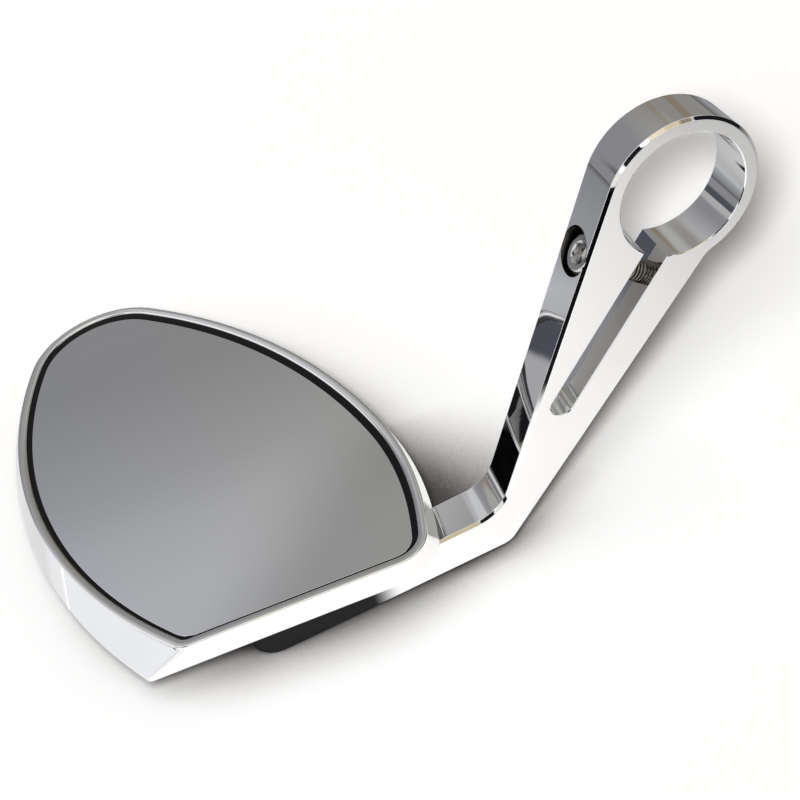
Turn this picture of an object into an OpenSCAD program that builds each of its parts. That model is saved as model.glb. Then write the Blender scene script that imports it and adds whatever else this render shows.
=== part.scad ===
/* [Clamp ring] */
// Radius of the bore that grips the bar
bore_r = 12.7; // [11:0.05:13.5]
// Outer radius of the clamp ring
ring_r = 15.7; // [15:0.1:18]
// Thickness of the arm plate, measured along the bar
arm_t = 10.8; // [9:0.1:14]
// Width of the clamp slot
slot_w = 5.2; // [3:0.1:6]
// Distance from the bar's centre to the centre of the slot's round end
slot_reach = 49.5; // [30:0.5:52]
// Bevel along the edges of the arm
bevel = 0.65; // [0.3:0.05:1]

/* [Arm] */
// Direction of the normal of the arm's left edge, which is tangent to the ring
left_angle = 155.6; // [150:0.1:160]
// Direction of the normal of the arm's right edge
right_angle = -39.6; // [-45:0.1:-35]
// Distance of the right edge from the bar's centre
right_offset = 13.3; // [12:0.1:14.5]
// Direction of the normal of the slot's walls
slot_angle = -38; // [-42:0.5:-34]
// Distance of the slot's centre line from the bar's centre
slot_offset = 1.9; // [0:0.1:3]
// Direction of the normal of the neck's underside
neck_angle = -82.9; // [-86:0.1:-80]
// Distance of the neck's top from the bar's centre
neck_offset = 58.7; // [55:0.1:62]
// Height of the neck
neck_h = 10.9; // [10.4:0.1:13]
// Distance along the neck from the foot of its normal to the ball stud
tongue_reach = 112; // [95:0.5:120]
// Radius of the inner bend
inner_bend_r = 11; // [6:0.5:16]
// Radius of the outer elbow
outer_bend_r = 5; // [3:0.5:5]
// Radius of the fillet between the ring and the arm's right edge
ring_fillet_r = 6; // [3:0.5:10]

/* [Mirror head] */
// Distance from the middle of the arm plate to the flat side of the head
flat_y = 17.4; // [15:0.1:20]
// Height of the rim, below the bar's centre
rim_drop = 54.2; // [50:0.1:56]
// Thickness of the head at its edge
head_t = 7; // [6:0.1:9]
// Right end of the flat side on the front outline
front_start = -72.1; // [-76:0.1:-68]
// Right end of the flat side on the rear outline
rear_start = -71.4; // [-76:0.1:-68]
// Width of the sloping rim
rim_w = 2; // [1:0.1:3]
// Fall of the sloping rim
rim_fall = 0.45; // [0.2:0.05:0.8]
// Depth of the glass below the outer edge of the rim
glass_depth = 1.1; // [0.6:0.1:1.5]
// Thickness of the glass
glass_t = 2; // [1.5:0.1:3]
// Distance from the front outline to the edge of the glass
glass_inset = 3.8; // [3:0.1:4.2]
// Width of the black seal round the glass
seal_w = 1.6; // [1:0.1:1.7]
// Thickness of the pad under the glass
pad_t = 0.8; // [0.5:0.1:1.2]

/* [Ball joint] */
// Radius of the ball
ball_r = 4.5; // [4:0.1:5]
// Height of the ball's centre above the tongue
ball_h = 6.5; // [6:0.1:7.5]
// Running gap round the ball and its liner
gap = 0.1; // [0.02:0.01:0.15]
// Wall of the plastic liner
liner_wall = 0.85; // [0.6:0.05:1.2]
// Radius of the socket boss where it meets the head
boss_top_r = 13; // [12.5:0.1:15]
// Radius of the socket boss at its lower end
boss_end_r = 7.5; // [7:0.1:8.5]
// Distance of the boss's lower end below the ball's centre
boss_drop = 3.3; // [3:0.1:3.6]
// Radius of the socket plate
plate_r = 11; // [10.5:0.1:11.5]
// Thickness of the socket plate
plate_t = 1.2; // [1:0.1:1.5]
// Height of the socket plate above the ball's centre
plate_z = 6.2; // [5.8:0.1:6.4]
// Radius of the circle of the plate screws
screw_circle_r = 8.4; // [8:0.1:8.8]

/* [Screws] */
// Nominal diameter of the clamp screw
clamp_d = 5; // [4:1:5]
// Length of the clamp screw under its head
clamp_len = 16; // [12:1:16]
// Radius of the counterbore for the clamp screw's head
counterbore_r = 4.9; // [4.5:0.1:5]
// Distance of the clamp screw from the bar's centre, along the slot
clamp_reach = 18.4; // [17.8:0.1:20]
// Depth of the screw head below the arm's left edge
clamp_recess = 1.2; // [0.5:0.1:2]
// Nominal diameter of the screw under the ball stud
stud_screw_d = 4; // [3:1:4]
// Nominal diameter of the socket plate screws
plate_screw_d = 2.5; // [2:0.5:2.5]

/* [Hidden] */
$fn = 96;
// Small overlap that keeps cuts clean
eps = 0.02;
// Arcs of the arm pass this far beyond the lines that they round, so that they cross them
join = 0.01;
// How far the bevel of a line or a bend runs on past its end, in mm and degrees
lap = 1;
lap_turn = 5;

// Turns of the two outlines of the head, anticlockwise from the right end of the flat side, as
// [radius, degrees]. A radius of 0 marks the long left side, whose radius closes the outline.
front_turns = [[8.4, 75.5], [77, 28.5], [151, 34.6], [21.8, 113.5], [0, 60.9], [4.9, 47]];
rear_turns = [[9.4, 77], [82, 28.6], [155.7, 32.4], [25.1, 118.5], [0, 49.3], [1.5, 54.2]];
long_side = 4;
// How far a chord of an outline may lie inside its arc
chord_error = 0.03;

// Unit vector at an angle
function along(angle) = [cos(angle), sin(angle)];
// Where two straight edges meet, each given by the direction of its normal and its distance
function meet(a1, d1, a2, d2) =
    [d1 * sin(a2) - d2 * sin(a1), d2 * cos(a1) - d1 * cos(a2)] / sin(a2 - a1);
// How far along an edge with the given normal a point lies
function run(p, angle) = p * along(angle + 90);
function sum_to(list, count) = count == 0 ? 0 : list[count - 1] + sum_to(list, count - 1);

// The arm's plane is drawn with x to the right and y up
neck_dir = along(neck_angle - 90);
neck_end = along(neck_angle) * (neck_offset + neck_h / 2) + neck_dir * tongue_reach;
tongue_top = along(neck_angle) * neck_offset + neck_dir * tongue_reach;
tongue_bottom = along(neck_angle) * (neck_offset + neck_h) + neck_dir * tongue_reach;
inner_corner = meet(left_angle, ring_r, neck_angle, neck_offset);
inner_bend = meet(left_angle, ring_r + inner_bend_r, neck_angle, neck_offset - inner_bend_r);
outer_bend = meet(right_angle, right_offset - outer_bend_r, neck_angle, neck_offset + neck_h - outer_bend_r);
right_foot = along(right_angle) * right_offset;
fillet_turn = acos((right_offset + ring_fillet_r) / (ring_r + ring_fillet_r));
ring_fillet = along(right_angle - fillet_turn) * (ring_r + ring_fillet_r);

ball = [tongue_top[0], 0, tongue_top[1]] - [cos(neck_angle), 0, sin(neck_angle)] * ball_h;
rim_z = -rim_drop;
rear_z = rim_z - head_t;
rear_bevel = 0.5;
glass_z = rim_z - glass_depth;
pad_z = glass_z - glass_t;
floor_z = pad_z - pad_t;
recess_inset = glass_inset - seal_w;
rim_edge = 0.25;
pad_inset = glass_inset + 0.5;

seat_r = ball_r + liner_wall + 2 * gap;
liner_h = 3;
cap_r = seat_r + 0.8;
cap_low = 1;
cap_top = plate_z - 1.2;
cap_hole_r = 2.6;
spring_r = 6.2;
spring_hole_r = 3.2;
spring_t = 0.5;
pocket_play = 0.2;
plate_hole_r = 3;
plate_screw_len = 6;
plate_head_r = 2.3;
plate_key = 1.5;

shank_r = 3;
neck_r = 2.2;
collar_r = 4.1;
collar_h = 1;
washer_t = 0.4;
washer_r = 4.6;
stud_head_r = 3.5;
stud_head_h = 4;
stud_cbore_r = 3.85;
stud_cbore_h = 4.6;
stud_washer_t = 0.5;
stud_screw_len = 6;

clamp_head_r = 4.25;
thread_play = 0.02;
// Where the left edge crosses the clamp screw's axis, and the face that its head bears on
clamp_left = (ring_r - clamp_reach * cos(left_angle - slot_angle + 90)) / cos(left_angle - slot_angle);
clamp_seat = clamp_left + clamp_recess + clamp_d;

// Rise of one turn of an outline for each unit of its radius
function rise(turns, i) = let (sweeps = [for (t = turns) t[1]])
    cos(sum_to(sweeps, i)) - cos(sum_to(sweeps, i + 1));
// Radius of the long side, from the condition that the outline comes back to the flat side
function closing_radius(turns) = let (rises = [for (i = [0:len(turns) - 1]) turns[i][0] * rise(turns, i)])
    -sum_to(rises, len(turns)) / rise(turns, long_side);
function closed(turns) = [for (t = turns) t[0] == 0 ? [closing_radius(turns), t[1]] : t];
function steps(r, sweep) = max(2, ceil(sweep / (2 * acos(1 - chord_error / max(r, 1)))));
// Points of an arc that starts at p with the given heading and turns left
function arc_points(p, heading, r, sweep) = let (n = steps(r, sweep)) [for (k = [1:n])
    p + r * [sin(heading + sweep * k / n) - sin(heading), cos(heading) - cos(heading + sweep * k / n)]];
function turn_points(p, turns, i = 0, heading = 0) = i == len(turns) ? [] :
    let (arc = arc_points(p, heading, turns[i][0], turns[i][1]))
    concat(arc, turn_points(arc[len(arc) - 1], turns, i + 1, heading + turns[i][1]));

// Outline of the head, moved inwards by inset
module leaf(start, turns, inset) {
    inner = [for (t = closed(turns)) [t[0] - inset, t[1]]];
    first = [start, inset - flat_y];
    polygon(concat([first], turn_points(first, inner)));
}

// Plate with the front outline, from one height up to another
module front_plate(inset, low, high) {
    translate([0, 0, low])
        linear_extrude(high - low) leaf(front_start, front_turns, inset);
}

// Plate with the rear outline, from one height up to another
module rear_plate(inset, low, high) {
    translate([0, 0, low])
        linear_extrude(high - low) leaf(rear_start, rear_turns, inset);
}

// Section of the cut that bevels both faces of the arm; side is 1 on an outer edge, -1 in a bend
module bevel_section(edge, side, depth) {
    h = arm_t / 2;
    for (face = [-1, 1]) {
        polygon([[edge - side * (depth + eps), face * (h + eps)], [edge + side * eps, face * (h + eps)],
                 [edge + side * eps, face * (h - depth - eps)]]);
    }
}

// Bevels a straight edge of its children between two places along it
module bevel_line(angle, offset, from, to) {
    difference() {
        children();
        rotate([0, 0, angle])
            translate([0, to, 0])
                rotate([90, 0, 0])
                    linear_extrude(to - from) bevel_section(offset, 1, bevel);
    }
}

// Bevels a round outer edge of its children
module bevel_corner(centre, r, from, sweep) {
    difference() {
        children();
        translate([centre[0], centre[1], 0])
            rotate([0, 0, from])
                rotate_extrude(angle = sweep) bevel_section(r, 1, bevel - join);
    }
}

// Bevels the edge in a bend of its children
module bevel_bend(centre, r, from, sweep) {
    difference() {
        children();
        translate([centre[0], centre[1], 0])
            rotate([0, 0, from - lap_turn])
                rotate_extrude(angle = sweep + 2 * lap_turn) bevel_section(r, -1, bevel + join);
    }
}

// Fills a corner up to the arc of a bend, whose ends lie at two angles
module bend_fill(corner, centre, r, a1, a2) {
    difference() {
        polygon([centre + (corner - centre) * 1.1, centre + along(a1) * (r + 1), centre,
                 centre + along(a2) * (r + 1)]);
        translate(centre) circle(r + join);
    }
}

module arm_outline() {
    difference() {
        union() {
            circle(ring_r + join);
            translate(neck_end) circle(neck_h / 2 + join);
            translate(outer_bend) circle(outer_bend_r + join);
            polygon([[0, 0], along(left_angle) * ring_r, inner_corner, tongue_top, tongue_bottom,
                     outer_bend + along(neck_angle) * outer_bend_r, outer_bend,
                     outer_bend + along(right_angle) * outer_bend_r, right_foot]);
            bend_fill(inner_corner, inner_bend, inner_bend_r, left_angle + 180, neck_angle);
            bend_fill(right_foot, ring_fillet, ring_fillet_r, right_angle + 180,
                      right_angle - fillet_turn + 180);
        }
        circle(bore_r);
        rotate(slot_angle) translate([slot_offset - slot_w / 2, -slot_reach]) square([slot_w, slot_reach]);
        rotate(slot_angle) translate([slot_offset, -slot_reach]) circle(slot_w / 2 + join);
    }
}

module arm_blank() {
    up = neck_angle + 180;
    bevel_corner([0, 0], ring_r, right_angle - fillet_turn, left_angle - right_angle + fillet_turn)
        bevel_bend(inner_bend, inner_bend_r, neck_angle, left_angle - 180 - neck_angle)
        bevel_corner(neck_end, neck_h / 2, up, 180)
        bevel_corner(outer_bend, outer_bend_r, neck_angle, right_angle - neck_angle)
        bevel_bend(ring_fillet, ring_fillet_r, right_angle - fillet_turn + 180, fillet_turn)
        bevel_line(left_angle, ring_r, -lap, run(inner_bend, left_angle))
        bevel_line(up, -neck_offset, run(inner_bend, up), tongue_reach + lap)
        bevel_line(neck_angle, neck_offset + neck_h, -tongue_reach - lap, run(outer_bend, neck_angle) + lap)
        bevel_line(right_angle, right_offset, run(outer_bend, right_angle) - lap, run(ring_fillet, right_angle))
        linear_extrude(arm_t, center = true) arm_outline();
}

// Stands the arm's plane upright
module in_arm_plane() {
    rotate([90, 0, 0]) children();
}

// Lays an axis of +Z along the clamp screw, from its head towards its thread
module on_clamp_axis() {
    in_arm_plane()
        rotate([0, 0, slot_angle])
            translate([0, -clamp_reach, 0])
                rotate([0, 90, 0]) children();
}

// Stands an axis of +Z on the tongue, where the ball stud is
module on_stud_axis() {
    translate([tongue_top[0], 0, tongue_top[1]])
        rotate([0, -neck_angle - 90, 0]) children();
}

module at_ball() {
    translate(ball) children();
}

// Cylinder from one height up to another
module disc(r, low, high) {
    translate([0, 0, low]) cylinder(r = r, h = high - low);
}

module clamp_arm() {
    color("gainsboro") difference() {
        in_arm_plane() arm_blank();
        on_clamp_axis() {
            disc(counterbore_r, clamp_left - 5, clamp_seat);
            disc(clamp_d / 2 + 0.25, clamp_seat - eps, slot_offset);
            disc(clamp_d / 2, slot_offset, clamp_seat + clamp_len + 0.8);
        }
        on_stud_axis() {
            disc(shank_r + 0.05, -neck_h, 1);
            disc(stud_cbore_r, -neck_h - 1, stud_cbore_h - neck_h);
        }
    }
}

// Socket-head screw with its head's top at z = -head_h and its thread in +Z
module cap_screw(d, len, head_r, head_h, key) {
    edge = 0.4;
    difference() {
        union() {
            rotate_extrude() polygon([[0, -head_h], [head_r - edge, -head_h], [head_r, edge - head_h],
                                      [head_r, 0], [0, 0]]);
            disc(d / 2 - thread_play, -eps, len);
        }
        translate([0, 0, -head_h - eps]) cylinder(d = key / cos(30), h = head_h / 2, $fn = 6);
    }
}

module clamp_screw() {
    color("silver")
        on_clamp_axis()
            translate([0, 0, clamp_seat]) cap_screw(clamp_d, clamp_len, clamp_head_r, clamp_d, 4);
}

module friction_washer() {
    color("dimgray") on_stud_axis() difference() {
        disc(washer_r, 0, washer_t);
        disc(shank_r + 0.05, -1, 1);
    }
}

module ball_stud() {
    spigot = stud_cbore_h - neck_h + 0.2;
    color("silver") on_stud_axis() difference() {
        union() {
            translate([0, 0, ball_h]) sphere(ball_r);
            disc(neck_r, washer_t, ball_h - ball_r / 2);
            translate([0, 0, washer_t]) cylinder(r = collar_r, h = collar_h, $fn = 6);
            disc(shank_r, spigot, washer_t + eps);
        }
        disc(stud_screw_d / 2, spigot - eps, spigot + stud_screw_len);
    }
}

module stud_washer() {
    floor_h = stud_cbore_h - neck_h;
    color("dimgray") on_stud_axis() difference() {
        disc(stud_head_r, floor_h - stud_washer_t, floor_h);
        disc(stud_screw_d / 2 + 0.1, floor_h - 1, floor_h + 1);
    }
}

module stud_screw() {
    color("dimgray")
        on_stud_axis()
            translate([0, 0, stud_cbore_h - neck_h - stud_washer_t])
                cap_screw(stud_screw_d, stud_screw_len, stud_head_r, stud_head_h - 0.2, 3);
}

module ball_liner() {
    color("white") at_ball() difference() {
        sphere(seat_r - gap);
        sphere(ball_r + gap);
        disc(2 * seat_r, 0, 2 * seat_r);
        disc(2 * seat_r, -2 * seat_r, -liner_h);
    }
}

// Places something at each of the three plate screws
module at_plate_screws() {
    for (a = [90:120:330]) {
        at_ball()
            rotate([0, 0, a])
                translate([screw_circle_r, 0, 0]) children();
    }
}

module housing_body() {
    back = rear_z - ball[2];
    hull() {
        front_plate(0, rim_z - rim_edge, rim_z);
        rear_plate(0, rear_z + rear_bevel, rear_z + 2 * rear_bevel);
        rear_plate(rear_bevel, rear_z, rear_z + rear_bevel);
    }
    at_ball()
        rotate_extrude() polygon([[0, -boss_drop], [boss_end_r, -boss_drop], [boss_top_r, back],
                                  [boss_top_r, back + rear_bevel], [0, back + rear_bevel]]);
}

module housing() {
    color("gainsboro") difference() {
        housing_body();
        hull() {
            front_plate(rim_edge, rim_z, rim_z + 1);
            front_plate(rim_w, rim_z - rim_fall, rim_z);
        }
        front_plate(recess_inset, floor_z, rim_z);
        at_ball() {
            disc(plate_r + pocket_play, plate_z, floor_z - ball[2] + eps);
            disc(cap_r + pocket_play, 0, plate_z + eps);
            sphere(seat_r);
        }
        at_plate_screws() disc(plate_screw_d / 2, plate_z + plate_t - plate_screw_len - 0.3, plate_z + eps);
    }
}

module pressure_cap() {
    color("silver") at_ball() difference() {
        disc(cap_r, cap_low, cap_top);
        sphere(ball_r + gap);
        disc(cap_hole_r, 0, 2 * cap_top);
    }
}

module disc_spring() {
    color("dimgray") at_ball()
        rotate_extrude() polygon([[spring_hole_r, plate_z - spring_t], [spring_r, cap_top],
                                  [spring_r, cap_top + spring_t], [spring_hole_r, plate_z]]);
}

// Countersunk head, its flat top at z = 0
module countersunk(r, shank) {
    rotate_extrude() polygon([[0, 0], [r, 0], [shank, shank - r], [0, shank - r]]);
}

module socket_plate() {
    color("silver") difference() {
        at_ball() disc(plate_r, plate_z, plate_z + plate_t);
        at_ball() disc(plate_hole_r, 0, 2 * plate_z);
        at_plate_screws() {
            disc(plate_screw_d / 2 + 0.1, 0, 2 * plate_z);
            translate([0, 0, plate_z + plate_t + 0.05]) countersunk(plate_head_r + 0.1, plate_screw_d / 2);
        }
    }
}

module plate_screws() {
    top = plate_z + plate_t;
    color("dimgray") at_plate_screws() difference() {
        union() {
            translate([0, 0, top]) countersunk(plate_head_r, plate_screw_d / 2 - thread_play);
            disc(plate_screw_d / 2 - thread_play, top - plate_screw_len, top - plate_t / 2);
        }
        translate([0, 0, top - plate_t / 2]) cylinder(d = plate_key / cos(30), h = 1, $fn = 6);
    }
}

module backing_pad() {
    color("black") front_plate(pad_inset, floor_z, pad_z);
}

module mirror_glass() {
    color("lightslategray") front_plate(glass_inset, pad_z, glass_z);
}

module glass_seal() {
    color("black") difference() {
        front_plate(recess_inset, floor_z, glass_z);
        front_plate(glass_inset, floor_z - 1, glass_z + 1);
    }
}

clamp_arm();
clamp_screw();
friction_washer();
ball_stud();
stud_washer();
stud_screw();
ball_liner();
housing();
pressure_cap();
disc_spring();
socket_plate();
plate_screws();
backing_pad();
mirror_glass();
glass_seal();
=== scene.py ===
import math

import bmesh
import bpy
from mathutils import Matrix, Vector
from mathutils.geometry import tessellate_polygon


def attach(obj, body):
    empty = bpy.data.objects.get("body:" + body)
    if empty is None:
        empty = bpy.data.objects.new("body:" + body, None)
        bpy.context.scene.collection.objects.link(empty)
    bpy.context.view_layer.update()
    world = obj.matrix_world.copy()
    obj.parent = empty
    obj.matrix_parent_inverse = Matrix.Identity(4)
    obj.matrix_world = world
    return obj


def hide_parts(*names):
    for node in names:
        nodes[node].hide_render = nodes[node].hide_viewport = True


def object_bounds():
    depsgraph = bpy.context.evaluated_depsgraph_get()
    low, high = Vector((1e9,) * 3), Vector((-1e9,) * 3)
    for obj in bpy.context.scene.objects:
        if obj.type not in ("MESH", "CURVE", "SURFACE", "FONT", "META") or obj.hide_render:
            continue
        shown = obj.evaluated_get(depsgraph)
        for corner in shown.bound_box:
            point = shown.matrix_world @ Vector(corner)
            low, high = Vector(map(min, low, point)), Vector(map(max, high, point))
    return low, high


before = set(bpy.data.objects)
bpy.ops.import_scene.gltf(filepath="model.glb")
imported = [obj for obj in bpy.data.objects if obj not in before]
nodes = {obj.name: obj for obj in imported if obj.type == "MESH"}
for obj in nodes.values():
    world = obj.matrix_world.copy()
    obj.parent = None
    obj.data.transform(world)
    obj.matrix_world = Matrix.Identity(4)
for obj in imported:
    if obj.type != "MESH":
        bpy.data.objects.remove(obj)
cad_low, cad_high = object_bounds()
scene = bpy.context.scene

MM = 0.001

# Sizes of the part's source, in mm and degrees
bore_r, ring_r, arm_t, bevel = 12.7, 15.7, 10.8, 0.65
slot_w, slot_reach, slot_angle, slot_offset = 5.2, 49.5, -38.0, 1.9
left_angle, right_angle, right_offset = 155.6, -39.6, 13.3
neck_angle, neck_offset, neck_h, tongue_reach = -82.9, 58.7, 10.9, 112.0
inner_bend_r, outer_bend_r, ring_fillet_r = 11.0, 5.0, 6.0
flat_y, rim_drop, head_t, front_start, rear_start = 17.4, 54.2, 7.0, -72.1, -71.4
glass_depth, glass_t, glass_inset, seal_w, pad_t = 1.1, 2.0, 3.8, 1.6, 0.8
ball_r, ball_h, gap, liner_wall = 4.5, 6.5, 0.1, 0.85
boss_top_r, boss_end_r, boss_drop, plate_r, plate_z = 13.0, 7.5, 3.3, 11.0, 6.2
clamp_d, clamp_len, counterbore_r, clamp_reach, clamp_recess = 5.0, 16.0, 4.9, 18.4, 1.2
clamp_head_r, clamp_key = 4.25, 4.0
shank_r, stud_cbore_r, stud_cbore_h = 3.0, 3.85, 4.6
front_turns = [[8.4, 75.5], [77, 28.5], [151, 34.6], [21.8, 113.5], [0, 60.9], [4.9, 47]]
rear_turns = [[9.4, 77], [82, 28.6], [155.7, 32.4], [25.1, 118.5], [0, 49.3], [1.5, 54.2]]
long_side = 4

# Sizes of this script alone, in mm: roundings, play and what the source leaves plain
outer_round, inner_bevel, inner_round = 0.22, 0.2, 0.07
rim_round, boss_round, boss_end_round, seat_round = 0.35, 1.0, 0.5, 0.15
cut_beyond, cut_play, screw_play, seat_chamfer = 2, 0.05, 0.25, 0.3
pane_overlap, pane_corner, pane_round, corner_lead = 0.5, 10.0, 0.12, 60
pane_shift_x, pane_shift_y = -0.15, -0.65
knurl_depth, socket_depth, socket_mouth_r = 0.16, 2.5, 2.42
thread_pitch, thread_depth = 0.8, 0.5
lathe_count = 96


def cos(angle):
    return math.cos(math.radians(angle))


def sin(angle):
    return math.sin(math.radians(angle))


def along(angle):
    return Vector((cos(angle), sin(angle)))


# Where two straight edges meet, each given by the direction of its normal and its distance
def meet(a1, d1, a2, d2):
    return Vector((d1 * sin(a2) - d2 * sin(a1), d2 * cos(a1) - d1 * cos(a2))) / sin(a2 - a1)


neck_dir = along(neck_angle - 90)
neck_end = along(neck_angle) * (neck_offset + neck_h / 2) + neck_dir * tongue_reach
tongue_top = along(neck_angle) * neck_offset + neck_dir * tongue_reach
inner_bend = meet(left_angle, ring_r + inner_bend_r, neck_angle, neck_offset - inner_bend_r)
outer_bend = meet(right_angle, right_offset - outer_bend_r, neck_angle, neck_offset + neck_h - outer_bend_r)
fillet_turn = math.degrees(math.acos((right_offset + ring_fillet_r) / (ring_r + ring_fillet_r)))
ring_fillet = along(right_angle - fillet_turn) * (ring_r + ring_fillet_r)
ball = Vector((tongue_top.x - cos(neck_angle) * ball_h, 0, tongue_top.y - sin(neck_angle) * ball_h))
rim_z = -rim_drop
rear_z = rim_z - head_t
glass_z = rim_z - glass_depth
pad_z = glass_z - glass_t
recess_z = pad_z - pad_t
recess_inset = glass_inset - seal_w
seat_r = ball_r + liner_wall + 2 * gap
clamp_left = (ring_r - clamp_reach * cos(left_angle - slot_angle + 90)) / cos(left_angle - slot_angle)
clamp_seat = clamp_left + clamp_recess + clamp_d

arm_plane = Matrix.Rotation(math.pi / 2, 4, "X")
clamp_axis = (arm_plane @ Matrix.Rotation(math.radians(slot_angle), 4, "Z")
              @ Matrix.Translation((0, -clamp_reach, 0)) @ Matrix.Rotation(math.pi / 2, 4, "Y"))
stud_axis = (Matrix.Translation((tongue_top.x, 0, tongue_top.y))
             @ Matrix.Rotation(math.radians(-neck_angle - 90), 4, "Y"))


# Camera, at the photograph's viewing angle; its focal length is in pixels of the photograph
photo_width, photo_focal, film_width = 800, 1079.9, 36.0
camera_at = Vector((-0.0792, -0.1606, 0.1179))
camera_back = Vector((-0.0848, -0.7384, 0.6690)).normalized()
camera_up = camera_back.cross(Vector((0.933, -0.2945, -0.2068))).normalized()
camera_right = camera_up.cross(camera_back)


def add_camera():
    data = bpy.data.cameras.new("camera")
    data.sensor_width = film_width
    data.lens = photo_focal / photo_width * film_width
    data.clip_start = 0.01
    data.clip_end = 20.0
    camera = bpy.data.objects.new("camera", data)
    turn = Matrix((camera_right, camera_up, camera_back)).transposed()
    camera.matrix_world = Matrix.Translation(camera_at) @ turn.to_4x4()
    scene.collection.objects.link(camera)
    scene.camera = camera


add_camera()


# Builds node trees in few words
class Graph:
    def __init__(self, tree):
        self.tree = tree
        tree.nodes.clear()

    def node(self, kind, **settings):
        node = self.tree.nodes.new(kind)
        for key, value in settings.items():
            setattr(node, key, value)
        return node

    def feed(self, socket, value):
        if isinstance(value, bpy.types.NodeSocket):
            self.tree.links.new(value, socket)
        elif isinstance(value, tuple) and len(value) == 3 and socket.type == "RGBA":
            socket.default_value = (*value, 1)
        else:
            socket.default_value = value

    def math(self, operation, a, b=0.0, clamp=False):
        node = self.node("ShaderNodeMath", operation=operation, use_clamp=clamp)
        self.feed(node.inputs[0], a)
        self.feed(node.inputs[1], b)
        return node.outputs[0]

    def vector(self, operation, a, b):
        node = self.node("ShaderNodeVectorMath", operation=operation)
        self.feed(node.inputs[0], a)
        self.feed(node.inputs[1], b)
        return node.outputs["Value" if operation in ("DOT_PRODUCT", "LENGTH") else "Vector"]

    def product(self, a, b):
        return self.math("MULTIPLY", a, b)

    def distance(self, a, b):
        return self.length(self.vector("SUBTRACT", a, b))

    def length(self, vector):
        return self.vector("LENGTH", vector, (0, 0, 0))

    def split(self, vector):
        node = self.node("ShaderNodeSeparateXYZ")
        self.feed(node.inputs[0], vector)
        return node.outputs

    def remap(self, value, low, high, to_low=0.0, to_high=1.0, smooth=False):
        node = self.node("ShaderNodeMapRange", interpolation_type="SMOOTHSTEP" if smooth else "LINEAR")
        for socket, entry in zip(node.inputs, (value, low, high, to_low, to_high)):
            self.feed(socket, entry)
        return node.outputs[0]

    # Soft steps up from 0 to 1 and down from 1 to 0
    def rise(self, value, low, high):
        return self.remap(value, low, high, 0.0, 1.0, True)

    def fall(self, value, low, high):
        return self.remap(value, low, high, 1.0, 0.0, True)

    def tint(self, a, b):
        return self.mix(1.0, a, b, "MULTIPLY")

    def mix(self, factor, a, b, blend="MIX"):
        node = self.node("ShaderNodeMix", data_type="RGBA", blend_type=blend)
        self.feed(node.inputs["Factor"], factor)
        self.feed(node.inputs[6], a)
        self.feed(node.inputs[7], b)
        return node.outputs[2]

    def ramp(self, value, stops):
        node = self.node("ShaderNodeValToRGB")
        stop_list = node.color_ramp.elements
        while len(stop_list) < len(stops):
            stop_list.new(1.0)
        for element, (place, tone) in zip(stop_list, stops):
            element.position = place
        for element, (place, tone) in zip(stop_list, stops):
            element.color = (tone, tone, tone, 1) if isinstance(tone, float) else (*tone, 1)
        self.feed(node.inputs[0], value)
        return node.outputs[0]

    # Places in metres, stretched by a scale along each axis
    def place(self, scale=(1, 1, 1), turn=(0, 0, 0)):
        coordinates = self.node("ShaderNodeTexCoord")
        mapping = self.node("ShaderNodeMapping")
        mapping.inputs["Scale"].default_value = scale
        mapping.inputs["Rotation"].default_value = [math.radians(t) for t in turn]
        self.feed(mapping.inputs[0], coordinates.outputs["Object"])
        return mapping.outputs[0]

    def noise(self, vector, scale, detail=2.0, rough=0.5):
        node = self.node("ShaderNodeTexNoise")
        self.feed(node.inputs["Vector"], vector)
        node.inputs["Scale"].default_value = scale
        node.inputs["Detail"].default_value = detail
        node.inputs["Roughness"].default_value = rough
        return node.outputs[0]

    def bump(self, height, distance, strength=1.0, normal=None):
        node = self.node("ShaderNodeBump")
        node.inputs["Strength"].default_value = strength
        node.inputs["Distance"].default_value = distance
        self.feed(node.inputs["Height"], height)
        if normal is not None:
            self.feed(node.inputs["Normal"], normal)
        return node.outputs[0]


def new_material(name):
    material = bpy.data.materials.new(name)
    material.use_nodes = True
    graph = Graph(material.node_tree)
    out = graph.node("ShaderNodeOutputMaterial")
    shader = graph.node("ShaderNodeBsdfPrincipled")
    graph.feed(out.inputs[0], shader.outputs[0])
    return material, graph, shader


# Polished aluminium: slow waves from the buffing wheel, hairlines along the part, a few cloudy spots
def polished_alloy():
    material, graph, shader = new_material("polished_alloy")
    plain = graph.place()
    lines = graph.place(scale=(2600, 2600, 90), turn=(0, -24, 0))
    cloud = graph.noise(plain, scale=70, detail=4)
    hair = graph.noise(lines, scale=1, detail=3, rough=0.65)
    tone = graph.mix(graph.remap(cloud, 0.35, 0.7), (0.90, 0.895, 0.89), (0.925, 0.922, 0.92))
    graph.feed(shader.inputs["Base Color"], tone)
    shader.inputs["Metallic"].default_value = 1
    rough = graph.math("ADD", graph.remap(cloud, 0.3, 0.75, 0.014, 0.036),
                       graph.remap(hair, 0.5, 0.85, 0, 0.012))
    graph.feed(shader.inputs["Roughness"], rough)
    waves = graph.bump(graph.noise(plain, scale=110, detail=1), distance=0.000008)
    graph.feed(shader.inputs["Normal"], graph.bump(hair, distance=0.00000003, strength=0.6, normal=waves))
    return material


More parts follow.
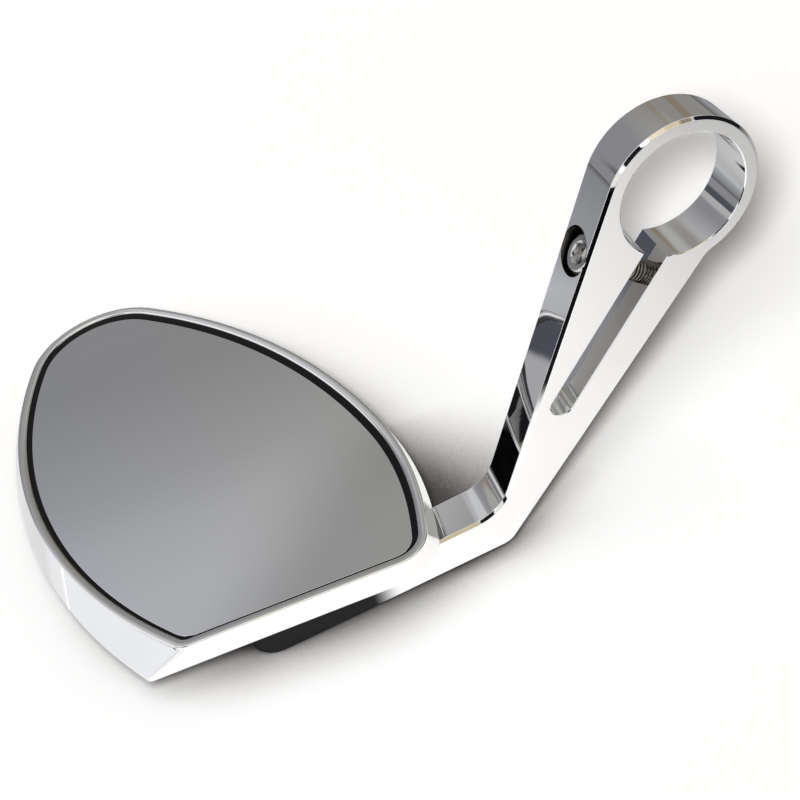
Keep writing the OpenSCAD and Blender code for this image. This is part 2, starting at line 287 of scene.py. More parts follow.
# Turned or rolled steel with a thin bright or dark plating; the dark bore walls and the dark thread made with
# it are painted shade
def steel(name, low, high, rough, ring_scale=0, grain=0.0000012):
    material, graph, shader = new_material(name)
    plain = graph.place()
    cloud = graph.noise(plain, scale=260, detail=5, rough=0.6)
    fine = graph.noise(plain, scale=3200, detail=3, rough=0.6)
    graph.feed(shader.inputs["Base Color"], graph.mix(graph.remap(cloud, 0.35, 0.7), low, high))
    shader.inputs["Metallic"].default_value = 1
    graph.feed(shader.inputs["Roughness"], graph.remap(cloud, 0.3, 0.7, rough, rough + 0.12))
    height = fine
    if ring_scale:
        rings = graph.noise(graph.place(scale=(60, 60, ring_scale)), scale=1, detail=3, rough=0.6)
        height = graph.math("ADD", fine, rings)
    graph.feed(shader.inputs["Normal"], graph.bump(height, grain))
    return material


# Moulded plastic with a fine matt grain
def plastic(name, low, high, rough, shine=0.5):
    material, graph, shader = new_material(name)
    plain = graph.place()
    cloud = graph.noise(plain, scale=180, detail=4)
    graph.feed(shader.inputs["Base Color"], graph.mix(cloud, low, high))
    shader.inputs["Specular IOR Level"].default_value = shine
    graph.feed(shader.inputs["Roughness"], graph.remap(cloud, 0.3, 0.7, rough, rough + 0.1))
    grain = graph.noise(plain, scale=5200, detail=2)
    graph.feed(shader.inputs["Normal"], graph.bump(grain, distance=0.000004))
    return material


# Closed-cell foam
def foam():
    material, graph, shader = new_material("foam")
    cells = graph.node("ShaderNodeTexVoronoi")
    cells.inputs["Scale"].default_value = 2600
    graph.feed(cells.inputs["Vector"], graph.place())
    tone = graph.mix(cells.outputs[0], (0.012, 0.012, 0.013), (0.04, 0.04, 0.042))
    graph.feed(shader.inputs["Base Color"], tone)
    shader.inputs["Roughness"].default_value = 0.9
    graph.feed(shader.inputs["Normal"], graph.bump(cells.outputs[0], distance=0.00008))
    return material


# Silvered glass with the faint haze of a wiped surface
def mirror():
    material, graph, shader = new_material("mirror_glass")
    plain = graph.place()
    haze = graph.noise(graph.place(scale=(18, 60, 60), turn=(0, 0, 38)), scale=1, detail=5, rough=0.6)
    dust = graph.noise(plain, scale=2400, detail=2, rough=0.7)
    graph.feed(shader.inputs["Base Color"], graph.mix(haze, (0.855, 0.865, 0.875), (0.885, 0.892, 0.90)))
    shader.inputs["Metallic"].default_value = 1
    rough = graph.math("ADD", graph.remap(haze, 0.35, 0.75, 0.004, 0.03),
                       graph.remap(dust, 0.55, 0.85, 0, 0.03))
    graph.feed(shader.inputs["Roughness"], rough)
    waves = graph.noise(plain, scale=45, detail=1)
    graph.feed(shader.inputs["Normal"], graph.bump(waves, distance=0.000008))
    shader.inputs["Coat Weight"].default_value = 0.5
    shader.inputs["Coat Roughness"].default_value = 0.0
    return material


def dress(node, material):
    mesh = nodes[node].data
    mesh.materials.clear()
    mesh.materials.append(material)


alloy = polished_alloy()
# Walls of the cut holes: a dark brown colour that paints the shade inside the bores and counterbores, with
# turning marks as bumps
bore_shade = steel("bore_painted_shade", (0.10, 0.09, 0.08), (0.20, 0.185, 0.17), rough=0.18, ring_scale=3000,
              grain=0.000002)
# Screw thread: a darker colour than the head, painted shade of the slot it crosses
thread_shade = steel("thread_painted_shade", (0.16, 0.145, 0.13), (0.30, 0.28, 0.25), rough=0.20)
glass = mirror()
seal = plastic("black_seal", (0.002, 0.002, 0.002), (0.005, 0.005, 0.006), rough=0.36, shine=0.18)
bright_steel = steel("plated_steel", (0.66, 0.65, 0.64), (0.78, 0.77, 0.76), rough=0.07, grain=0.0000006)
turned_steel = steel("turned_steel", (0.52, 0.52, 0.52), (0.66, 0.66, 0.65), rough=0.16, ring_scale=5200,
                     grain=0.000002)
dark_steel = steel("blackened_steel", (0.05, 0.05, 0.055), (0.10, 0.10, 0.105), rough=0.28)
spring_steel = steel("spring_steel", (0.26, 0.25, 0.24), (0.36, 0.35, 0.33), rough=0.24)
zinc = steel("zinc_plate", (0.55, 0.54, 0.50), (0.66, 0.65, 0.62), rough=0.26, ring_scale=900)
black_nylon = plastic("black_nylon", (0.012, 0.012, 0.013), (0.03, 0.03, 0.032), rough=0.42)
white_nylon = plastic("white_nylon", (0.70, 0.69, 0.64), (0.80, 0.79, 0.75), rough=0.38)

dress("friction_washer", black_nylon)
dress("ball_stud", turned_steel)
dress("stud_washer", zinc)
dress("stud_screw", dark_steel)
dress("ball_liner", white_nylon)
dress("pressure_cap", turned_steel)
dress("disc_spring", spring_steel)
dress("socket_plate", zinc)
dress("plate_screws", dark_steel)
dress("backing_pad", foam())
dress("clamp_arm", alloy)
dress("clamp_screw", bright_steel)
dress("housing", alloy)
dress("mirror_glass", glass)
dress("glass_seal", seal)


# Cuts other objects out of one for good; the cut faces keep the cutter's material
def carve(obj, cutters):
    for cutter in cutters:
        cut = obj.modifiers.new("cut", "BOOLEAN")
        cut.operation = "DIFFERENCE"
        cut.solver = "EXACT"
        cut.object = cutter
        cut.material_mode = "TRANSFER"
    whole = obj.data
    name = whole.name
    mesh = bpy.data.meshes.new_from_object(obj.evaluated_get(bpy.context.evaluated_depsgraph_get()))
    obj.modifiers.clear()
    obj.data = mesh
    bpy.data.meshes.remove(whole)
    mesh.name = name
    # The boolean carries old normals over, which would shade the flat faces in fans
    if mesh.has_custom_normals:
        mesh.attributes.remove(mesh.attributes["custom_normal"])
    for cutter in cutters:
        bpy.data.objects.remove(cutter)


# Makes a mesh object from points in mm; flat faces keep flat shading and rounded edges stay smooth
def add_piece(name, points, faces, material, sharp=34, turn=Matrix.Identity(4), cutters=()):
    same_place = 1e-7
    mesh = bpy.data.meshes.new(name)
    mesh.from_pydata([(turn @ Vector(p)) * MM for p in points], [], faces)
    work = bmesh.new()
    work.from_mesh(mesh)
    bmesh.ops.remove_doubles(work, verts=work.verts, dist=same_place)
    bmesh.ops.dissolve_degenerate(work, dist=same_place, edges=work.edges)
    bmesh.ops.recalc_face_normals(work, faces=work.faces)
    work.to_mesh(mesh)
    work.free()
    mesh.materials.append(material)
    obj = bpy.data.objects.new(name, mesh)
    scene.collection.objects.link(obj)
    if cutters:
        carve(obj, cutters)
    obj.data.shade_smooth()
    obj.data.set_sharp_from_angle(angle=math.radians(sharp))
    normals = obj.modifiers.new("normals", "WEIGHTED_NORMAL")
    normals.mode = "FACE_AREA"
    normals.keep_sharp = True
    return obj


# Faces between closed rings that all have the same number of points
def bands(first, count, size):
    faces = []
    for ring in range(count - 1):
        a = first + ring * size
        for i in range(size):
            j = (i + 1) % size
            faces.append((a + i, a + j, a + size + j, a + size + i))
    return faces


# Flat faces that fill a plane figure, given by rings of points and the place of each ring's first point
def fill(rings, firsts):
    owners = [first + i for ring, first in zip(rings, firsts) for i in range(len(ring))]
    flat = [[Vector((p[0], p[1], 0)) for p in ring] for ring in rings]
    return [tuple(owners[i] for i in triangle) for triangle in tessellate_polygon(flat)]


# Points and faces of a surface turned round +Z from a profile of (radius, height)
def turned(profile):
    angles = [2 * math.pi * i / lathe_count for i in range(lathe_count)]
    points = [(r * math.cos(t), r * math.sin(t), z) for r, z in profile for t in angles]
    return points, bands(0, len(profile), lathe_count)


# Profile points that round the corner between two lines
def round_corner(before, corner, after, radius, count=5):
    a = (Vector(before) - Vector(corner)).normalized()
    b = (Vector(after) - Vector(corner)).normalized()
    half = math.acos(max(-1, min(1, a.dot(b)))) / 2
    reach = radius / math.tan(half)
    centre = Vector(corner) + (a + b).normalized() * (radius / math.sin(half))
    start = Vector(corner) + a * reach - centre
    end = Vector(corner) + b * reach - centre
    turn = start.angle(end)
    return [tuple(centre + (start * math.sin(turn * (1 - k / count)) + end * math.sin(turn * k / count))
                  / math.sin(turn)) for k in range(count + 1)]


# Profile with its inner corners rounded, each point given as (x, y, radius)
def rounded(profile):
    points = []
    for k, (x, y, radius) in enumerate(profile):
        if radius and 0 < k < len(profile) - 1:
            points += round_corner(profile[k - 1][:2], (x, y), profile[k + 1][:2], radius)
        else:
            points.append((x, y))
    return points


# Points of a curve given by four control points
def curve(p, count):
    points = []
    for k in range(count + 1):
        t = k / count
        weights = ((1 - t) ** 3, 3 * t * (1 - t) ** 2, 3 * t * t * (1 - t), t ** 3)
        points.append(tuple(sum(w * q[axis] for w, q in zip(weights, p)) for axis in (0, 1)))
    return points


# Arm: its outlines are lists of (point, outward normal)
def arc(centre, r, start, end, inward=False):
    count = max(6, math.ceil(abs(end - start) / 2.0))
    side = -1 if inward else 1
    normals = [along(start + (end - start) * k / count) for k in range(count + 1)]
    return [(centre + normal * r, normal * side) for normal in normals]


def arm_loops():
    up = neck_angle + 180
    outer = arc(Vector((0, 0)), ring_r, right_angle - fillet_turn, left_angle)
    outer += arc(inner_bend, inner_bend_r, left_angle - 180, neck_angle, True)
    outer += arc(neck_end, neck_h / 2, up, up + 180)
    outer += arc(outer_bend, outer_bend_r, neck_angle, right_angle)
    outer += arc(ring_fillet, ring_fillet_r, right_angle + 180, right_angle - fillet_turn + 180, True)[:-1]
    near = slot_offset - slot_w / 2
    far = slot_offset + slot_w / 2
    near_turn = math.degrees(math.asin(near / bore_r)) - 90
    far_turn = math.degrees(math.asin(far / bore_r)) - 90
    bore = arc(Vector((0, 0)), bore_r, slot_angle + near_turn, slot_angle + far_turn - 360, True)
    slot_end = along(slot_angle) * slot_offset + along(slot_angle - 90) * slot_reach
    end = arc(slot_end, slot_w / 2, slot_angle, slot_angle - 180, True)
    for k, wall in ((0, along(slot_angle)), (-1, -along(slot_angle))):
        point, normal = bore[k]
        mitre = (normal + wall) / (1 + normal.dot(wall))
        bore[k] = (point, mitre)
    return outer, bore + end


def build_arm():
    outer, inner = arm_loops()
    h = arm_t / 2
    points = []
    faces = []
    fronts = []
    firsts = []
    for loop, depth, radius in ((outer, bevel, outer_round), (inner, inner_bevel, inner_round)):
        profile = rounded([(depth + 1, h, 0), (depth, h, radius), (0, h - depth, radius), (0, 0, 0),
                           (0, depth - h, radius), (depth, -h, radius), (depth + 1, -h, 0)])[1:-1]
        first = len(points)
        for inset, level in profile:
            points += [(*(p - n * inset), level) for p, n in loop]
        faces += bands(first, len(profile), len(loop))
        last = len(points) - len(loop)
        fronts.append(((points[first:first + len(loop)], first), (points[last:], last)))
    for side in (0, 1):
        rings = [entry[side][0] for entry in fronts]
        faces += fill(rings, [entry[side][1] for entry in fronts])
    seat, free_r, mouth = clamp_seat, clamp_d / 2 + screw_play, clamp_left - 6
    profile = [(0, mouth), (counterbore_r, mouth), (counterbore_r, seat - seat_chamfer),
               (counterbore_r - seat_chamfer, seat), (free_r + 0.25, seat), (free_r, seat + 0.25),
               (free_r, slot_offset), (clamp_d / 2, slot_offset + 0.01),
               (clamp_d / 2, seat + clamp_len + 0.8), (0, seat + clamp_len + cut_beyond)]
    bore_points, bore_faces = turned(profile)
    # The cutters carry their dark colour onto the walls they cut, as painted shade in the holes
    cutter = add_piece("clamp_cut", bore_points, bore_faces, bore_shade, turn=clamp_axis)
    cbore_end, hole_r = stud_cbore_h - neck_h, shank_r + cut_play
    profile = [(0, -neck_h - cut_beyond), (stud_cbore_r, -neck_h - cut_beyond), (stud_cbore_r, cbore_end),
               (hole_r, cbore_end), (hole_r, cut_beyond), (0, cut_beyond)]
    stud_points, stud_faces = turned(profile)
    stud_cutter = add_piece("stud_cut", stud_points, stud_faces, bore_shade, turn=stud_axis)
    arm = add_piece("arm_body", points, faces, alloy, turn=arm_plane, cutters=[cutter, stud_cutter])
    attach(arm, "arm")
    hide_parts("clamp_arm")


build_arm()


# Head: an outline is a function of its heading, so that two of them can be joined point by point
def outline(start, turns):
    headings = [0]
    for r, sweep in turns:
        headings.append(headings[-1] + sweep)
    rises = [cos(a) - cos(b) for a, b in zip(headings, headings[1:])]
    closing = -sum(r * rise for (r, sweep), rise in zip(turns, rises)) / rises[long_side]
    radii = [r or closing for r, sweep in turns]

    def point(heading, inset):
        place = Vector((start, inset - flat_y))
        for r, a, b in zip(radii, headings, headings[1:]):
            end = min(heading, b)
            place += Vector((sin(end) - sin(a), cos(a) - cos(end))) * (r - inset)
            if heading <= b:
                break
        return place

    return point, headings


front_at, front_breaks = outline(front_start, front_turns)
rear_at, rear_breaks = outline(rear_start, rear_turns)
even = [k * 1.0 for k in range(361)]
headings = sorted(even + [b for b in front_breaks[1:-1] + rear_breaks[1:-1] if abs(b - round(b)) > 0.05])


def front_ring(inset, z):
    return [(*front_at(h, inset), z) for h in headings]


def rear_ring(inset, z):
    return [(*rear_at(h, inset), z) for h in headings]


def build_housing():
    low = rounded([(3.0, rear_z, 0), (0.5, rear_z, rim_round), (0, rear_z + 0.5, rim_round),
                   (0, rear_z + 1.6, 0)])[1:]
    rings = [rear_ring(inset, z) for inset, z in low]
    rings += [front_ring(0, rim_z - 1.2)]
    high = curve([(0, -0.7), (0, -0.2), (0.22, 0), (0.75, -0.03)], 9)
    high += curve([(0.75, -0.03), (1.35, -0.065), (2.12, -0.22), (recess_inset, -0.80)], 10)[1:]
    high = [(inset, rim_z + z) for inset, z in high] + [(recess_inset, recess_z)]
    rings += [front_ring(inset, z) for inset, z in high]
    size = len(headings)
    points = [p for ring in rings for p in ring]
    faces = bands(0, len(rings), size)
    boss = [(r, z - ball.z, radius) for r, z, radius in (
        (boss_top_r + 3, rear_z, 0), (boss_top_r, rear_z, boss_round),
        (boss_end_r, ball.z - boss_drop, boss_end_round),
        (math.sqrt(seat_r ** 2 - boss_drop ** 2), ball.z - boss_drop, seat_round),
        (seat_r * cos(-30), ball.z - seat_r * 0.5, 0), (seat_r * cos(-15), ball.z + seat_r * sin(-15), 0),
        (seat_r, ball.z, 0), (seat_r + 1.0, ball.z, 0), (seat_r + 1.0, ball.z + plate_z, 0),
        (plate_r + 0.2, ball.z + plate_z, 0), (plate_r + 0.2, recess_z, 0))]
    lathe, lathe_faces = turned(rounded(boss)[1:])
    first = len(points)
    points += [tuple(Vector(p) + ball) for p in lathe]
    faces += [tuple(first + i for i in face) for face in lathe_faces]
    last = len(points) - lathe_count
    faces += fill([rings[0], points[first:first + lathe_count]], [0, first])
    faces += fill([rings[-1], points[last:]], [(len(rings) - 1) * size, last])
    housing = add_piece("housing_body", points, faces, alloy)
    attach(housing, "head")
    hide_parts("housing")


build_housing()


# The pane reaches a little way into the bead of sealant, and sits closer to the flat side
pane_inset = glass_inset - pane_overlap


# Outline of the pane: the front's, but with a wider corner where the long side meets the flat side
def pane_ring(inset, z):
    turn = front_breaks[-2]
    r = front_turns[-1][0] - inset
    more = max(0.0, pane_corner - inset - r)
    back = more * math.tan(math.radians(front_turns[-1][1] / 2))
    points = []
    for h in headings:
        # The long side's arc ends a little early, and a short straight edge leads into the corner
        if h < turn - math.degrees(back / corner_lead):
            x, y = front_at(h, inset)
        else:
            end = max(h, turn)
            x, y = (front_at(turn, inset) - along(turn) * back
                    + Vector((sin(end) - sin(turn), cos(turn) - cos(end))) * (r + more))
        points.append((x + pane_shift_x, y + pane_shift_y, z))
    return points


def build_glass():
    low, high = pad_z, glass_z
    profile = rounded([(pane_inset + 1, low, 0), (pane_inset + 0.25, low, 0.1), (pane_inset, low + 0.25, 0.1),
                       (pane_inset, high - 0.35, pane_round), (pane_inset + 0.35, high, pane_round),
                       (pane_inset + 1.5, high, 0)])[1:-1]
    rings = [pane_ring(inset, z) for inset, z in profile]
    size = len(headings)
    points = [p for ring in rings for p in ring]
    faces = bands(0, len(rings), size)
    faces += fill([rings[0]], [0]) + fill([rings[-1]], [(len(rings) - 1) * size])
    pane = add_piece("mirror_pane", points, faces, glass)
    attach(pane, "head")
    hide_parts("mirror_glass")


build_glass()


# The bead of sealant is drawn out by hand, so its inner edge wanders a little
def build_seal():
    profile = [(recess_inset - 0.01, recess_z), (recess_inset - 0.01, rim_z - 0.97),
               (recess_inset + 0.12, rim_z - 1.02), (recess_inset + 0.35, rim_z - 1.05),
               (recess_inset + 0.7, rim_z - 1.06), (pane_inset - 0.15, rim_z - 1.065),
               (pane_inset + 0.1, glass_z + 0.035), (pane_inset + 0.2, glass_z),
               (pane_inset + 0.2, glass_z - 0.2), (pane_inset, glass_z - 0.4), (pane_inset, recess_z)]
    on_pane, wavy = range(5, len(profile)), range(3, 9)
    wander = [0.035 * math.sin(math.radians(7 * h)) + 0.02 * math.sin(math.radians(17 * h + 40))
              for h in headings]
    rings = []
    for k, (inset, z) in enumerate(profile):
        ring = (pane_ring if k in on_pane else front_ring)(inset, z)
        if k in wavy:
            ring = [(x - w * sin(h), y + w * cos(h), z) for (x, y, z), w, h in zip(ring, wander, headings)]
        rings.append(ring)
    rings.append(rings[0])
    points = [p for ring in rings for p in ring]
    bead = add_piece("seal_bead", points, bands(0, len(rings), len(headings)), seal, sharp=60)
    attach(bead, "head")
    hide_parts("glass_seal")


build_seal()


# Clamp screw: knurled socket head, its bearing face at z = 0
def screw_head():
    count, knurl_step, head, edge, cone = 192, 4, clamp_d, 0.75, 0.4
    turns = [2 * math.pi * i / count for i in range(count)]

    def ring(radius, z, knurl=0.0):
        radii = [radius - knurl * abs((i / knurl_step) % 1 - 0.5) * 2 for i in range(count)]
        return [(r * math.cos(t), r * math.sin(t), z) for r, t in zip(radii, turns)]

    def socket(z, chamfer=False):
        points = []
        for t in turns:
            sector = (t + math.pi / 6) % (math.pi / 3) - math.pi / 6
            r = clamp_key / 2 / math.cos(sector)
            lift = (socket_mouth_r - r) * 0.7 if chamfer else 0
            points.append((r * math.cos(t), r * math.sin(t), z + lift))
        return points

    corner = rounded([(clamp_head_r - 1.5, -head, 0), (clamp_head_r - edge, -head, 0.6),
                      (clamp_head_r, edge - head, 0.5), (clamp_head_r, -1, 0)])[1:-1]
    rings = [[(0, 0, -head + (socket_depth + cone))] * count, socket(-head + socket_depth),
             socket(-head, True), ring(socket_mouth_r, -head)]
    rings += [ring(r, z) for r, z in corner]
    rings += [ring(clamp_head_r, 0.8 - head, knurl_depth), ring(clamp_head_r, -0.75, knurl_depth),
              ring(clamp_head_r, -0.55), ring(clamp_head_r - 0.05, -0.12), ring(clamp_head_r - 0.17, 0),
              [(0, 0, 0)] * count]
    return [p for entry in rings for p in entry], bands(0, len(rings), count)


# Rolled helical thread, which runs out at the screw's end
def screw_thread(first):
    crest, root, core = clamp_d / 2 - 0.02, clamp_d / 2 - thread_depth, clamp_d / 2 - thread_depth - 0.1
    form = [(0.0, crest), (0.10, crest), (0.16, crest - 0.04), (0.42, root + 0.03), (0.50, root),
            (0.58, root + 0.03), (0.72, crest - 0.1)]
    around, start, run_out = 48, -0.3, 0.6
    turns = range(-2, int(clamp_len / thread_pitch) + 2)
    rows = [((k + s) * thread_pitch, r) for k in turns for s, r in form]
    points = []
    for z, r in rows:
        for i in range(around):
            t = 2 * math.pi * i / around
            level = z + thread_pitch * i / around
            fade = min(1, max(0, (clamp_len - level) / run_out))
            reach = core + (r - root + 0.1) * fade if level < clamp_len else core
            if level < start:
                reach = root
            points.append((reach * math.cos(t), reach * math.sin(t), max(start, min(clamp_len, level))))
    faces = []
    step = len(form)
    for row in range(len(rows) - step):
        for i in range(around):
            a = first + row * around + i
            if i < around - 1:
                faces.append((a, a + 1, a + around + 1, a + around))
            elif row + step + 1 < len(rows):
                b = first + (row + step) * around
                faces.append((a, b, b + around, a + around))
    return points, faces


def build_screw():
    points, faces = screw_head()
    head_faces = len(faces)
    thread_points, thread_faces = screw_thread(len(points))
    screw = add_piece("screw_body", points + thread_points, faces + thread_faces, bright_steel,
                      turn=clamp_axis @ Matrix.Translation((0, 0, clamp_seat)))
    # The thread faces take the darker colour, which paints the slot's shade on them
    screw.data.materials.append(thread_shade)
    for face in screw.data.polygons:
        if face.index >= head_faces:
            face.material_index = 1
    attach(screw, "arm")
    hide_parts("clamp_screw")


build_screw()


black = (0.010, 0.010, 0.012)
# Near-black for the world's dark patches and for painted shade in the floor's reflections
floor_black = (0.012, 0.012, 0.013)
floor_z = cad_low.z - 0.0003


# Painted reflection: the floor's colour as metal and glass see it, bright beside the object and darkening
# behind it as the light on a table falls off, with painted shade in dark places that lie where the
# photograph's reflections are dark
def painted_floor_reflection(graph, place, white):
    x, y, z = graph.split(place)
    # Painted falloff: the tone steps down with distance behind the object, cooler further back
    depth = graph.math("ADD", y, graph.product(graph.math("ADD", x, 0.1), 0.35))
    tone = graph.ramp(graph.remap(depth, 0.0, 0.5),
                      [(0.0, 0.90), (0.19, 0.90), (0.25, 0.62), (0.30, 0.57), (0.39, 0.70), (0.48, 0.56),
                       (0.74, 0.57), (1.0, 0.58)])
    tone = graph.mix(graph.remap(y, 0.05, 0.30), tone, graph.tint(tone, (0.95, 1.0, 1.07)))
    # Painted highlight: a paler patch off to the left
    slant = graph.math("ADD", y, graph.product(graph.math("ADD", x, 0.34), 0.45))
    aside = graph.product(graph.fall(x, -0.34, -0.22), graph.fall(slant, 0.20, 0.30))
    tone = graph.mix(aside, tone, graph.tint(white, (0.86, 0.88, 0.91)))
    # Painted falloff: in front of the object the tone darkens towards the right
    front = graph.ramp(graph.remap(x, -0.12, 0.13),
                       [(0.0, 0.92), (0.36, 0.90), (0.56, 0.76), (0.80, 0.56), (1.0, 0.50)])
    tone = graph.mix(graph.fall(y, 0.0, 0.06), tone, front)
    # Painted shade: a near-black band far behind on the right
    off = graph.math("ABSOLUTE", graph.math("SUBTRACT", x, 0.075))
    painted_dark_far_right = graph.product(graph.fall(off, 0.09, 0.12), graph.rise(y, 0.18, 0.24))
    tone = graph.mix(painted_dark_far_right, tone, (0.02, 0.02, 0.02))
    # Painted shadow: near-black on the floor under the head
    offset = graph.vector("SUBTRACT", place, (-0.10, 0.025, floor_z))
    apart = graph.length(graph.vector("MULTIPLY", offset, (20.0, 18.2, 1.0)))
    painted_shadow_under_head = graph.product(graph.fall(apart, 0.80, 1.10), graph.fall(x, -0.080, -0.072))
    tone = graph.mix(painted_shadow_under_head, tone, (0.02, 0.02, 0.02))
    # Painted shade: a small dark disc on the floor behind the arm
    apart = graph.distance(place, (-0.044, 0.088, floor_z))
    tone = graph.mix(graph.fall(apart, 0.012, 0.018), tone, floor_black)
    # Painted shade: near-black in front and to the left
    painted_dark_near_left = graph.product(graph.fall(x, -0.26, -0.20), graph.fall(y, -0.08, -0.02))
    return graph.mix(painted_dark_near_left, tone, (0.01, 0.01, 0.011))


# Shade close under the object: occlusion about a normal that is tilted towards the lamps
def contact_shade(graph):
    cover = graph.node("ShaderNodeAmbientOcclusion", samples=24)
    cover.inputs["Distance"].default_value = 0.05
    graph.feed(cover.inputs["Normal"], graph.vector("NORMALIZE", (-0.3, -0.7, 0.65), (0, 0, 0)))
    return graph.ramp(cover.outputs["AO"],
                      [(0.0, (0.065, 0.061, 0.059)), (0.61, (0.075, 0.071, 0.068)),
                       (0.748, (0.53, 0.52, 0.512)), (0.87, 0.915), (0.985, 1.0)])


# Floor: white to the camera, with the object's shadow. Its colour rises away from the camera to even
# out the lamps' light, which strikes it at a lower angle there
def add_floor():
    half_width, evenness, white_level = 4, 0.8, 0.74
    mesh = bpy.data.meshes.new("floor")
    corners = [(x * half_width, y * half_width, floor_z) for x, y in ((-1, -1), (1, -1), (1, 1), (-1, 1))]
    mesh.from_pydata(corners, [], [(0, 1, 2, 3)])
    floor = bpy.data.objects.new("floor", mesh)
    scene.collection.objects.link(floor)
    material, graph, shader = new_material("floor")
    path = graph.node("ShaderNodeLightPath")
    place = graph.place()
    reach = graph.distance(place, tuple(camera_at))
    height = camera_at.z - floor_z
    even = graph.product(graph.math("POWER", graph.math("DIVIDE", reach, height), evenness), white_level)
    white = graph.node("ShaderNodeCombineColor")
    for socket in white.inputs:
        graph.feed(socket, even)
    lit = graph.tint(white.outputs[0], contact_shade(graph))
    tone = graph.mix(path.outputs["Is Camera Ray"], (0.9, 0.9, 0.9), lit)
    # Metal and glass see the floor with painted reflections and painted shade
    tone = graph.mix(path.outputs["Is Glossy Ray"], tone, painted_floor_reflection(graph, place, white.outputs[0]))
    surface = graph.node("ShaderNodeBsdfDiffuse")
    graph.feed(surface.inputs[0], tone)
    graph.feed(material.node_tree.nodes["Material Output"].inputs[0], surface.outputs[0])
    material.node_tree.nodes.remove(shader)
    mesh.materials.append(material)


add_floor()

# Studio round the object, as soft patches of light by direction: (direction, inner and outer angle, colour)
patches = [
    ((-0.42, 0.50, 0.76), 12, 15, (0.58, 0.59, 0.60)),
    ((-0.93, 0.15, 0.30), 23, 30, (0.90, 0.92, 0.95)),
    ((-0.40, -0.745, 0.525), 12, 14, floor_black),
    ((-0.09, -0.765, 0.63), 5, 7, (0.60, 0.53, 0.34)),
    ((-0.51, -0.64, 0.58), 11, 13, floor_black),
    ((-0.79, -0.575, 0.225), 1.8, 3.0, (0.95, 0.88, 0.70)),
    ((-0.70, -0.61, 0.37), 3.2, 4.6, (1.30, 1.28, 1.26)),
    ((-0.27, -0.62, 0.74), 4.5, 6.0, (1.30, 1.30, 1.45)),
    ((0.45, -0.49, 0.75), 7, 11, (0.30, 0.26, 0.18)),
    ((-0.05, -0.60, 0.80), 6, 9, (0.90, 0.82, 0.60)),
    ((0.12, -0.57, 0.81), 7, 10, (0.86, 0.78, 0.56)),
    ((0.26, -0.54, 0.80), 6, 10, (0.70, 0.62, 0.42)),
    ((0.72, -0.37, 0.58), 8, 10, black),
    ((0.85, -0.28, 0.44), 11, 13, black),
    ((0.95, -0.17, 0.25), 13, 16, black),
    ((1.0, -0.05, 0.06), 11, 15, black),
    ((0.28, 0.96, 0.0), 6, 8, black),
    ((0.42, 0.91, 0.03), 8, 10, black),
]


# The far wall, by slope (up over forward) and side (right over forward), with its bands and panels
def far_wall(graph, x, y, z):
    safe = graph.math("MAXIMUM", y, 0.08)
    slope = graph.math("DIVIDE", z, safe)
    side = graph.math("DIVIDE", x, safe)
    tone = graph.ramp(graph.remap(slope, 0.0, 1.6),
                      [(0.0, 0.265), (0.36, 0.262), (0.46, 0.265), (0.55, 0.345), (0.61, 0.43),
                       (0.68, 0.475), (0.76, 0.48), (1.0, 0.50)])
    ridge = graph.math("ADD", side, graph.product(graph.math("SUBTRACT", slope, 0.87), 0.85))
    right = graph.remap(ridge, -0.03, 0.20, 1.0, 0.66, True)
    tone = graph.mix(graph.rise(slope, 0.84, 0.98), tone, graph.tint(tone, right))
    tint = graph.mix(graph.remap(side, -0.35, 0.12), (0.97, 0.98, 1.045), (1.02, 1.0, 0.955))
    tone = graph.tint(tone, tint)
    for centre, half, colour in ((0.33, 0.06, (0.25, 0.22, 0.165)), (0.66, 0.07, (0.24, 0.21, 0.155))):
        off = graph.math("ABSOLUTE", graph.math("SUBTRACT", side, centre))
        band = graph.product(graph.fall(off, half * 0.5, half), graph.fall(slope, 0.70, 0.85))
        tone = graph.mix(band, tone, colour)
    width = graph.product(graph.fall(side, -0.80, -0.74), graph.rise(side, -1.5, -1.3))
    reach = graph.product(graph.rise(slope, 0.16, 0.24), graph.fall(slope, 0.5, 0.6))
    panel = graph.mix(graph.rise(slope, 0.372, 0.384), (0.078, 0.083, 0.098), (0.43, 0.43, 0.44))
    tone = graph.mix(graph.product(width, reach), tone, panel)
    corner = graph.product(graph.rise(side, 0.25, 0.45), graph.rise(slope, 0.66, 0.80))
    return graph.mix(corner, tone, (0.42, 0.42, 0.41))


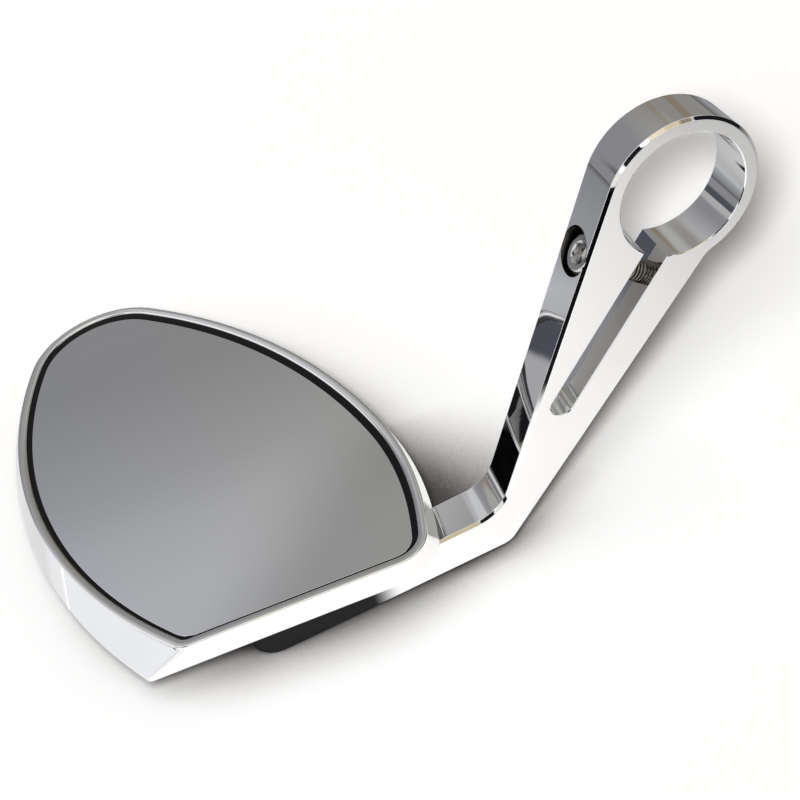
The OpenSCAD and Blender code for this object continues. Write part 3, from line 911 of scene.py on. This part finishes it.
# World: metal and glass see the studio, the camera sees white, and soft surfaces get a plain level
def add_world():
    world = bpy.data.worlds.new("studio")
    scene.world = world
    world.use_nodes = True
    graph = Graph(world.node_tree)
    out = graph.node("ShaderNodeOutputWorld")
    light = graph.node("ShaderNodeBackground")
    graph.feed(out.inputs[0], light.outputs[0])
    direction = graph.node("ShaderNodeTexCoord").outputs["Generated"]
    x, y, z = graph.split(direction)
    tone = graph.mix(graph.rise(y, 0.02, 0.16), (0.84, 0.84, 0.84), far_wall(graph, x, y, z))
    for centre, inner, outer, colour in patches:
        middle = tuple(Vector(centre).normalized())
        mask = graph.rise(graph.vector("DOT_PRODUCT", direction, middle), cos(outer), cos(inner))
        tone = graph.mix(mask, tone, colour)
    front_left = graph.product(graph.fall(x, -0.6, -0.5), graph.fall(y, -0.3, -0.2))
    low = graph.product(graph.fall(z, 0.05, 0.09), front_left)
    tone = graph.mix(low, tone, black)
    path = graph.node("ShaderNodeLightPath")
    seen = graph.mix(path.outputs["Is Camera Ray"], (0.15, 0.141, 0.133), (1.0, 1.0, 1.0))
    graph.feed(light.inputs[0], graph.mix(path.outputs["Is Glossy Ray"], seen, tone))
    light.inputs[1].default_value = 1.0


add_world()


# Soft lamp beside the camera, up and to the left, whose light doesn't fall off with distance
def add_lamp(name, left, up, radius, power):
    data = bpy.data.lights.new(name, "POINT")
    data.energy = power
    data.shadow_soft_size = radius
    data.use_nodes = True
    graph = Graph(data.node_tree)
    out = graph.node("ShaderNodeOutputLight")
    glow = graph.node("ShaderNodeEmission")
    falloff = graph.node("ShaderNodeLightFalloff")
    falloff.inputs[0].default_value = 1.0
    graph.feed(glow.inputs[1], falloff.outputs["Constant"])
    graph.feed(out.inputs[0], glow.outputs[0])
    lamp = bpy.data.objects.new(name, data)
    lamp.location = camera_at - camera_right * left + camera_up * up
    lamp.visible_camera = False
    lamp.visible_glossy = False
    scene.collection.objects.link(lamp)


add_lamp("key", left=0.008, up=0.007, radius=0.012, power=33)
add_lamp("fill", left=0.034, up=0.030, radius=0.042, power=14)

scene.view_settings.view_transform = "Standard"
